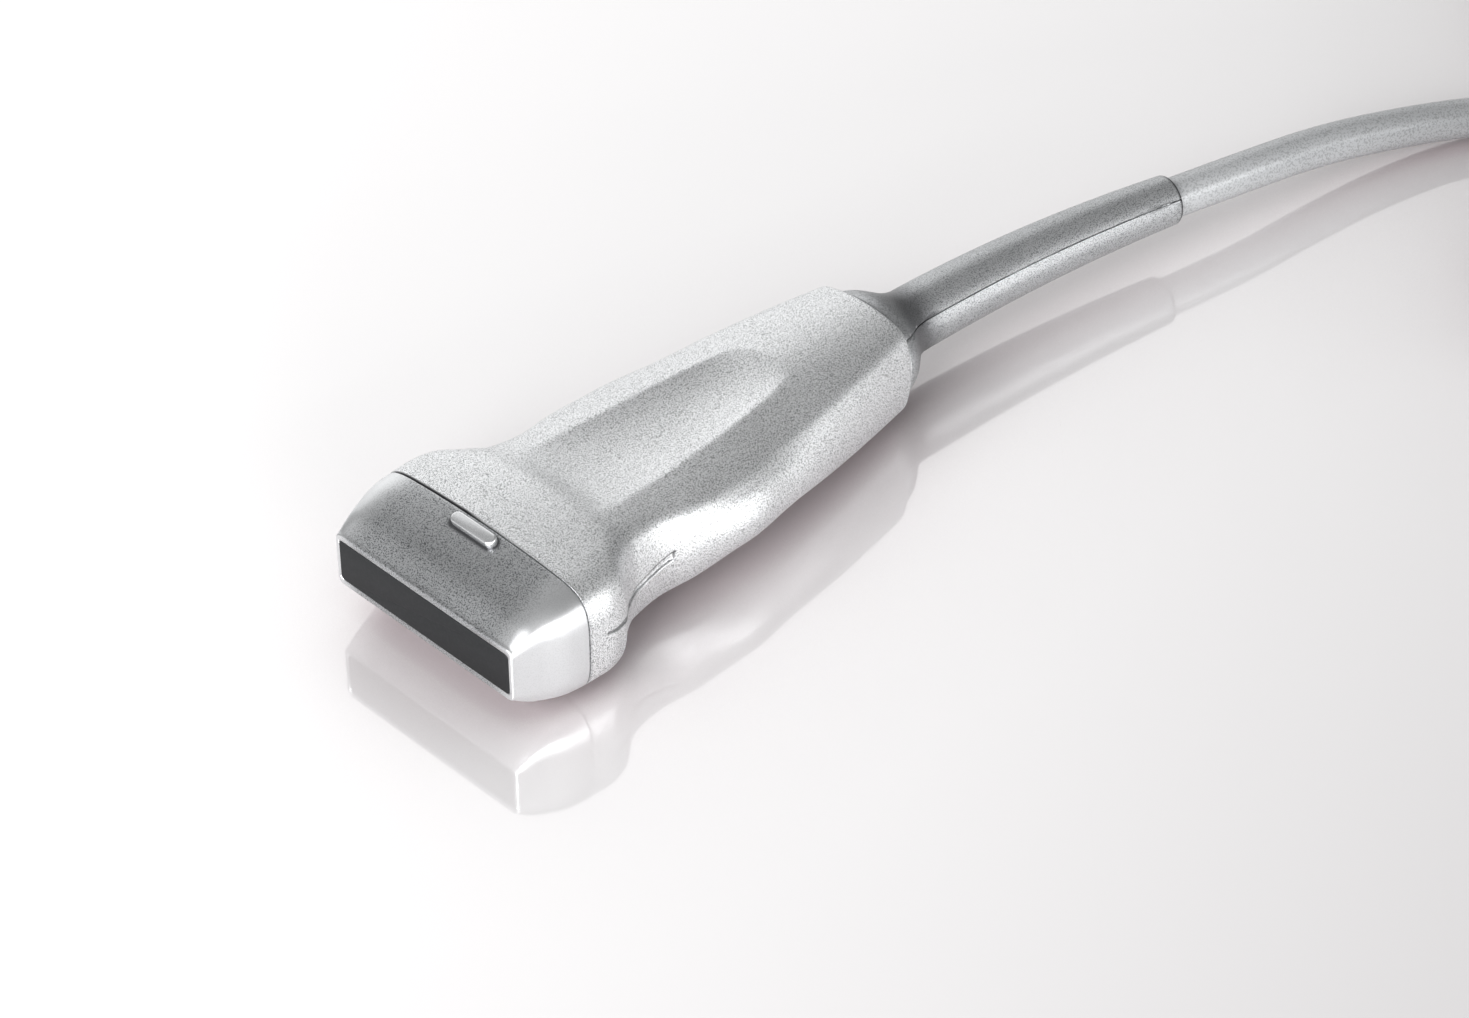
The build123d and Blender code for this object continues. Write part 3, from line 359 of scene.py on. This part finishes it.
def eroded_texture():
    """Node group: the fine grain of a spark-eroded mould, as a colour, a roughness and a normal."""
    group = bpy.data.node_groups.new("eroded_texture", "ShaderNodeTree")
    for name, kind in (("Base", "Color"), ("Speck", "Color"), ("Scale", "Float"), ("Speckling", "Float"),
                       ("Roughness", "Float"), ("Relief", "Float")):
        group.interface.new_socket(name, in_out="INPUT", socket_type="NodeSocket" + kind)
    for name, kind in (("Color", "Color"), ("Roughness", "Float"), ("Normal", "Vector")):
        group.interface.new_socket(name, in_out="OUTPUT", socket_type="NodeSocket" + kind)
    links = group.links
    given = group.nodes.new("NodeGroupInput")
    made = group.nodes.new("NodeGroupOutput")
    place = added(group, "TexCoord").outputs["Object"]
    grain = added(group, "TexNoise")
    grain.inputs["Detail"].default_value = 2.0
    grain.inputs["Roughness"].default_value = 0.6
    links.new(place, grain.inputs["Vector"])
    links.new(given.outputs["Scale"], grain.inputs["Scale"])
    mottle = added(group, "TexNoise")
    mottle.inputs["Scale"].default_value = 60.0
    mottle.inputs["Detail"].default_value = 3.0
    links.new(place, mottle.inputs["Vector"])
    amount = added(group, "Math", operation="MULTIPLY")
    links.new(ramp(group, grain.outputs["Fac"], 0.51, 0.58, smooth=False), amount.inputs[0])
    links.new(given.outputs["Speckling"], amount.inputs[1])
    links.new(blended(group, amount.outputs["Value"], given.outputs["Base"], given.outputs["Speck"]),
              made.inputs["Color"])
    wave = added(group, "Math", operation="MULTIPLY_ADD")
    wave.inputs[1].default_value = 0.16
    links.new(mottle.outputs["Fac"], wave.inputs[0])
    links.new(given.outputs["Roughness"], wave.inputs[2])
    links.new(wave.outputs["Value"], made.inputs["Roughness"])
    bump = added(group, "Bump")
    bump.inputs["Distance"].default_value = 0.00003
    links.new(given.outputs["Relief"], bump.inputs["Strength"])
    links.new(grain.outputs["Fac"], bump.inputs["Height"])
    links.new(bump.outputs["Normal"], made.inputs["Normal"])
    return group


texture = eroded_texture()


def moulded(name, base, speck, roughness, metallic=0.0, scale=2600.0, speckling=0.5, relief=0.35):
    """A moulded, cast or drawn finish: a plain shader fed by the eroded texture."""
    finish = bpy.data.materials.new(name)
    finish.use_nodes = True
    tree = finish.node_tree
    shader = tree.nodes["Principled BSDF"]
    grain = added(tree, "Group", node_tree=texture)
    for socket, value in (("Base", (*base, 1.0)), ("Speck", (*speck, 1.0)), ("Scale", scale),
                          ("Speckling", speckling), ("Roughness", roughness - 0.08), ("Relief", relief)):
        grain.inputs[socket].default_value = value
    tree.links.new(grain.outputs["Color"], shader.inputs["Base Color"])
    tree.links.new(grain.outputs["Roughness"], shader.inputs["Roughness"])
    tree.links.new(grain.outputs["Normal"], shader.inputs["Normal"])
    shader.inputs["Metallic"].default_value = metallic
    return finish


def paint_light_and_shade(finish, mask, tone=(0.09, 0.09, 0.095)):
    """Paint light or shade into a finish where its mask is on: by default dark, as painted shade in a
    crease.
    """
    tree = finish.node_tree
    shader = tree.nodes["Principled BSDF"]
    grained = shader.inputs["Base Color"].links[0].from_socket
    tree.links.new(blended(tree, mask, grained, tone), shader.inputs["Base Color"])


silver_shell = moulded("silver_shell", (0.90, 0.91, 0.92), (0.14, 0.145, 0.15), 0.43, metallic=0.86,
                       scale=5200.0, speckling=0.8, relief=0.5)
# Painted shade along the groove's edges, darkest under its upper lip, and in the seam, darkest where it
# stands a little open on top, as a mask.
darkness = []
for vertex in handle.data.vertices:
    x, y, z = [1000 * part for part in vertex.co]
    edge = 0.0
    if y < -10 and abs(z) < 5 and mark_start < x < mark_end + 0.4:
        above, below, ahead = from_mark(x, z)
        lines = ((above + 0.15, 1.4, 0.30), (below, 0.7, 0.25), (ahead, 0.9, 0.30))
        if min(above, below, ahead) > -0.45:
            edge = max(0.0, *[strength * (1 - abs(gap) / width) for gap, strength, width in lines])
    open_part = min(max(y / 4, 0.0), 1.0) * min(max((23 - y) / 3, 0.0), 1.0) if z > 5 else 0.0
    at_seam = 0.35 + 0.65 * open_part if x < nose_length + 0.2 else 0.0
    darkness.append(max(min(edge, 1.0), at_seam))
handle.data.attributes.new("painted_shade_edges", "FLOAT", "POINT").data.foreach_set("value", darkness)
painted_shade_edges = added(silver_shell.node_tree, "Attribute", attribute_name="painted_shade_edges")
paint_light_and_shade(silver_shell, painted_shade_edges.outputs["Fac"])
handle.data.materials.append(silver_shell)


# Nose
# A separate moulding in the same plastic, glued in the handle's mouth with its spigot. It carries the
# lens in a rimmed window and a raised, polished bar on top that marks the middle of the array. Its
# finish is the handle's silver painted darker, as painted shade on its top, and its sides are painted
# lighter again, as painted light.
def apart_from(tree, value, middle):
    """How far a value lies from a middle one, to either side."""
    gap = added(tree, "Math", operation="SUBTRACT")
    gap.inputs[1].default_value = middle
    tree.links.new(value, gap.inputs[0])
    size = added(tree, "Math", operation="ABSOLUTE")
    tree.links.new(gap.outputs["Value"], size.inputs[0])
    return size.outputs["Value"]


# Place along the probe, then half width, half height, corner and squareness there.
swell = 4.968
nose_rows = [
    (0.00, 21.25, 5.10, 1.5, 40.0), (swell, 22.58, 8.583, 4.0, 9.0), (9.936, 24.19, 10.454, 6.5, 5.5),
    (13.80, 24.75, 11.55, 8.0, 3.9)]


def nose_ring(x, inset=0.0):
    """The nose's section at x."""
    return [(x, y, z) for y, z in section(*row_at(nose_rows, x), inset)]


def window_ring(x, grow=0.0):
    """The lens window's outline at x."""
    half_width, half_height, corner, squareness = 20.4 + grow, 4.1 + grow, 0.8 + grow, 60.0
    return [(x, y, z) for y, z in section(half_width, half_height, corner, squareness)]


window_depth, window_edge, rim_edge = 1.2, 0.12, 0.32
seam, seam_gap_depth = nose_length - 0.28, 0.5
spigot_inset, spigot_bore, spigot_end = 2.1, 3.6, 18.3
nose_rings = [window_ring(window_depth), window_ring(window_edge), window_ring(0.0, 0.1)]
for back, drawn_in in reversed(list(turns_round(rim_edge, 4))):
    nose_rings.append(shifted(nose_ring(rim_edge, drawn_in), back))
nose_rings += [nose_ring(rim_edge + step * 0.42) for step in range(1, 31)]
for back, drawn_in in turns_round(seam_edge, 3):
    nose_rings.append(shifted(nose_ring(seam, drawn_in), seam - back))
for inset, place in ((seam_gap_depth, seam), (seam_gap_depth, nose_length + 0.05),
                     (spigot_inset, nose_length), (spigot_inset, spigot_end),
                     (spigot_bore, spigot_end), (spigot_bore, nose_length)):
    nose_rings.append(shifted(nose_ring(nose_length, inset), place))
nose_rings += [nose_ring(swell, 3.2), window_ring(window_depth + 0.01, 0.3)]
nose = lofted("nose_shell", nose_rings)
# The handle's silver, painted darker: painted shade on the nose's top.
nose_finish = moulded("silver_nose", (0.52, 0.53, 0.54), (0.08, 0.085, 0.09), 0.35, metallic=0.90,
                      scale=4800.0, speckling=0.85, relief=0.5)
tree = nose_finish.node_tree
spot = added(tree, "TexCoord").outputs["Object"]
aside = apart_from(tree, along(tree, spot, (0.0, 1.0, 0.0)), 0.0)
# Painted light: the sides are painted lighter than the top.
paint_light_and_shade(nose_finish, ramp(tree, aside, 0.0150, 0.0215, high=0.85), (0.82, 0.83, 0.84))
# Painted shade: a dark line round the bar's foot, from how far a point lies from the bar's middle line.
beyond = added(tree, "Math", operation="SUBTRACT", use_clamp=True)
beyond.inputs[1].default_value = 0.0040
tree.links.new(aside, beyond.inputs[0])
flat = added(tree, "CombineXYZ")
tree.links.new(apart_from(tree, along(tree, spot, (1.0, 0.0, 0.0)), 0.01155), flat.inputs["X"])
tree.links.new(beyond.outputs["Value"], flat.inputs["Y"])
away = added(tree, "VectorMath", operation="LENGTH")
tree.links.new(flat.outputs["Vector"], away.inputs[0])
paint_light_and_shade(nose_finish, ramp(tree, away.outputs["Value"], 0.00190, 0.00120))
nose.data.materials.append(nose_finish)
bar_place, bar_size, bar_tilt = (0.0116, 0.0, 0.01135), (0.0023, 0.0100, 0.0016), math.radians(-17.0)
bar_end, bar_edge = 0.00112, 0.00040
bpy.ops.object.select_all(action="DESELECT")
bpy.ops.mesh.primitive_cube_add(size=1.0, location=bar_place, rotation=(0.0, bar_tilt, 0.0))
bar = bpy.context.object
bar.scale = bar_size
bpy.ops.object.transform_apply(location=False, rotation=False, scale=True)
bpy.ops.object.mode_set(mode="EDIT")
bpy.ops.mesh.select_mode(type="EDGE")
bpy.ops.mesh.select_all(action="DESELECT")
shape = bmesh.from_edit_mesh(bar.data)
for line in shape.edges:
    line.select_set(abs(line.verts[0].co.z - line.verts[1].co.z) > 0.001)
bmesh.update_edit_mesh(bar.data)
bpy.ops.mesh.bevel(offset=bar_end, segments=8, affect="EDGES")
bpy.ops.mesh.select_all(action="DESELECT")
shape = bmesh.from_edit_mesh(bar.data)
for line in shape.edges:
    line.select_set(any(face.normal.z > 0.9 for face in line.link_faces)
                    and any(abs(face.normal.z) < 0.1 for face in line.link_faces))
bmesh.update_edit_mesh(bar.data)
bpy.ops.mesh.bevel(offset=bar_edge, segments=5, affect="EDGES")
bpy.ops.object.mode_set(mode="OBJECT")
bpy.ops.object.shade_smooth_by_angle(angle=math.radians(50))
bar.data.materials.append(moulded("polished_bar", (0.80, 0.81, 0.82), (0.60, 0.61, 0.62), 0.26,
                                  metallic=0.86, speckling=0.2, relief=0.1))
bpy.ops.object.transform_apply(location=True, rotation=True, scale=True)
bpy.ops.object.select_all(action="DESELECT")
bar.select_set(True)
nose.select_set(True)
bpy.context.view_layer.objects.active = nose
bpy.ops.object.join()
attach(nose, "root")
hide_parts("nose_piece")


# Lens
# A charcoal silicone slab cast in the nose's window, flush with its rim. It is matt, and soft enough
# to follow the skin.
def moulded_copy(node, name, angle=40.0):
    """A piece with a CAD node's shape, its triangles joined and shaded smooth."""
    bpy.ops.object.select_all(action="DESELECT")
    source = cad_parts[node]
    piece = bpy.data.objects.new(name, source.data.copy())
    piece.data.materials.clear()
    bpy.context.collection.objects.link(piece)
    bpy.context.view_layer.objects.active = piece
    piece.select_set(True)
    bpy.ops.object.mode_set(mode="EDIT")
    bpy.ops.mesh.select_all(action="SELECT")
    bpy.ops.mesh.remove_doubles(threshold=0.000002)
    bpy.ops.object.mode_set(mode="OBJECT")
    bpy.ops.object.shade_smooth_by_angle(angle=math.radians(angle))
    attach(piece, "root")
    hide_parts(node)
    return piece


lens_finish = moulded("lens_silicone", (0.010, 0.011, 0.012), (0.024, 0.024, 0.026), 0.55, scale=1800.0,
                      speckling=0.3, relief=0.15)
lens_finish.node_tree.nodes["Principled BSDF"].inputs["Specular IOR Level"].default_value = 0.22
lens = moulded_copy("acoustic_lens", "lens_slab", 30.0)
lens.data.materials.append(lens_finish)


# Strain relief
# A soft grey elastomer boot, moulded in one piece and snapped through the handle's end wall. Its bell
# meets the handle and its sleeve tapers along the cable, with a slit down it. Painted shade darkens it
# in the hollow between bell and sleeve, and in the mouth where the cable comes out.
boot_finish = moulded("boot_elastomer", (0.54, 0.55, 0.56), (0.10, 0.105, 0.11), 0.42, metallic=0.8,
                      scale=4800.0, speckling=0.7, relief=0.5)
boot = moulded_copy("strain_relief", "boot")
tree = boot_finish.node_tree
spot = added(tree, "TexCoord").outputs["Object"]
# Painted shade in the hollow between bell and sleeve, and at the mouth.
hollow = apart_from(tree, along(tree, spot, (1.0, 0.0, 0.0)), 0.1095)
paint_light_and_shade(boot_finish, ramp(tree, hollow, 0.0075, 0.0010, high=0.70))
paint_light_and_shade(boot_finish, ramp(tree, along(tree, spot, (0.979, -0.201, -0.031)), 0.1703, 0.1708))
boot.data.materials.append(boot_finish)
jacket_finish = moulded("cable_jacket", (0.52, 0.53, 0.54), (0.22, 0.225, 0.23), 0.38, metallic=0.45)
cable.data.materials.append(jacket_finish)


# Inside the nose
# The acoustic stack: filled-epoxy matching layers over diced ceramic elements on a block of loaded
# epoxy, held by a moulded ring. A rubber ring in the spigot's groove seals the joint.
def dress(finish, *names):
    """Give CAD pieces their finish."""
    for node in names:
        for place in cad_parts[node].material_slots:
            place.material = finish


dress(moulded("matching_epoxy", (0.16, 0.10, 0.07), (0.07, 0.05, 0.04), 0.45, scale=4000.0),
      "matching_layer_outer", "matching_layer_inner")
dress(moulded("fired_ceramic", (0.55, 0.50, 0.36), (0.30, 0.26, 0.18), 0.55, scale=5000.0),
      "piezo_elements")
dress(moulded("backing_epoxy", (0.035, 0.035, 0.038), (0.12, 0.12, 0.12), 0.6, scale=1500.0,
              speckling=0.7), "backing_block")
dress(moulded("seal_rubber", (0.02, 0.02, 0.022), (0.05, 0.05, 0.05), 0.55), "nose_seal")
dress(moulded("frame_plastic", (0.10, 0.10, 0.11), (0.05, 0.05, 0.05), 0.5), "array_frame")


# Inside the handle
# The chassis: an aluminium spine that carries the heat away, and two green boards on short brass
# spacers, with film circuits to the elements, folded tinned lids, and fans of fine coaxial leads.
dress(moulded("milled_aluminium", (0.62, 0.63, 0.64), (0.45, 0.46, 0.47), 0.32, metallic=1.0,
              scale=900.0), "heat_spreader")
dress(moulded("polyimide_film", (0.45, 0.21, 0.05), (0.33, 0.14, 0.03), 0.3, scale=1200.0),
      "flex_circuit_upper", "flex_circuit_lower")
dress(moulded("board_laminate", (0.03, 0.16, 0.07), (0.05, 0.22, 0.10), 0.4, scale=1500.0, speckling=0.8),
      "interconnect_board_upper", "interconnect_board_lower")
dress(moulded("socket_plastic", (0.60, 0.57, 0.48), (0.42, 0.40, 0.34), 0.5),
      "flex_socket_upper", "flex_socket_lower", "coax_socket_upper", "coax_socket_lower")
dress(moulded("tinned_steel", (0.66, 0.66, 0.64), (0.48, 0.48, 0.47), 0.3, metallic=1.0, scale=700.0),
      "board_shield_upper", "board_shield_lower")
dress(moulded("coaxial_leads", (0.42, 0.09, 0.05), (0.22, 0.05, 0.03), 0.5, scale=500.0, speckling=0.9),
      "conductor_fan_upper", "conductor_fan_lower")
dress(moulded("plated_steel", (0.60, 0.59, 0.56), (0.42, 0.41, 0.39), 0.28, metallic=1.0),
      "board_screws", "board_nuts", "clamp_screws", "clamp_nuts")
dress(moulded("turned_brass", (0.60, 0.44, 0.16), (0.45, 0.32, 0.10), 0.3, metallic=1.0), "board_spacers")
dress(moulded("clamp_plastic", (0.05, 0.05, 0.055), (0.10, 0.10, 0.10), 0.5),
      "cable_clamp_upper", "cable_clamp_lower")
ferrule_metal = moulded("nickel_ferrule", (0.58, 0.55, 0.50), (0.42, 0.40, 0.36), 0.25, metallic=1.0)
dress(ferrule_metal, "crimp_ferrule", "connector_ferrule")
dress(jacket_finish, "cable_end", "connector_cable_end")


# System connector
# The plug at the cable's far end: two moulded halves drawn together by four screws, with a tongue of
# plated contacts between two turned guide pins, and a moulded taper for the cable.
connector_finish = moulded("connector_plastic", (0.30, 0.31, 0.32), (0.16, 0.165, 0.17), 0.42,
                           speckling=0.6)
on_the_cable = [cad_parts[node] for node in (
    "connector_ferrule", "connector_cable_end", "connector_conductor_fan", "connector_board",
    "connector_contacts", "connector_screws")]
for node, name, finish, slot in [
        ("connector_shell_upper", "connector_half_upper", connector_finish, "connector_shell"),
        ("connector_shell_lower", "connector_half_lower", connector_finish, "connector_shell"),
        ("connector_strain_relief", "connector_taper", moulded(
            "taper_elastomer", (0.38, 0.39, 0.40), (0.12, 0.125, 0.13), 0.40, metallic=0.6), "boot"),
        ("contact_block", "contact_tongue", moulded(
            "tongue_plastic", (0.03, 0.03, 0.033), (0.08, 0.08, 0.08), 0.4), "connector_shell"),
        ("guide_pins", "turned_pins", moulded(
            "turned_steel", (0.63, 0.62, 0.60), (0.50, 0.49, 0.47), 0.22, metallic=1.0), "pins")]:
    piece = moulded_copy(node, name, 35.0)
    piece.data.materials.append(finish)
    on_the_cable.append(piece)
dress(moulded("gold_plate", (0.80, 0.58, 0.20), (0.62, 0.43, 0.14), 0.24, metallic=1.0),
      "connector_contacts")
dress(moulded("connector_laminate", (0.03, 0.16, 0.07), (0.05, 0.22, 0.10), 0.4, scale=1500.0,
              speckling=0.8), "connector_board")
dress(moulded("blackened_screws", (0.10, 0.10, 0.10), (0.05, 0.05, 0.05), 0.3, metallic=1.0),
      "connector_screws")
dress(moulded("coaxial_bundle", (0.42, 0.09, 0.05), (0.22, 0.05, 0.03), 0.5, scale=500.0, speckling=0.9),
      "connector_conductor_fan")
